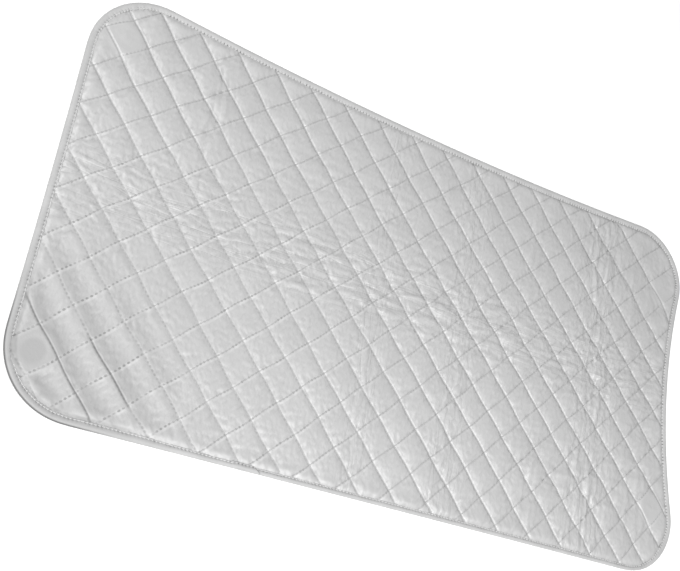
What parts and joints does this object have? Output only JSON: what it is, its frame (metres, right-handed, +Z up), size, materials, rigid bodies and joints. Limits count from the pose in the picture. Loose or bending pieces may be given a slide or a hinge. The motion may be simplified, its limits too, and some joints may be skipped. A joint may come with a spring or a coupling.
{
  "type": "ironing pad",
  "caption": "Quilted heat-reflective ironing pad with rounded corners, a bound edge and a hidden disc magnet in each corner that holds it on a steel worktop.",
  "frame": {"origin": "on the worktop, under the middle of the pad's outline", "axes": "+X along the length to the right end, +Y to the rear, +Z up out of the silver side"},
  "size_m": [0.838, 0.452, 0.0061],
  "materials": {
    "cover": "silver-coated woven cotton, soft sheen",
    "wadding": "loose white fibre",
    "backing": "plain woven cotton, undyed",
    "binding": "silver-grey woven tape",
    "thread": "grey spun sewing thread",
    "magnet": "dark sintered ferrite"
  },
  "bodies": {
    "root": {"top_cover": "cover", "wadding": "wadding", "backing_cloth": "backing", "edge_binding": "binding", "binding_thread": "thread", "quilting_thread_rising": "thread", "quilting_thread_falling": "thread", "magnet_front_left": "magnet", "magnet_front_right": "magnet", "magnet_rear_right": "magnet", "magnet_rear_left": "magnet"}
  },
  "joints": []
}
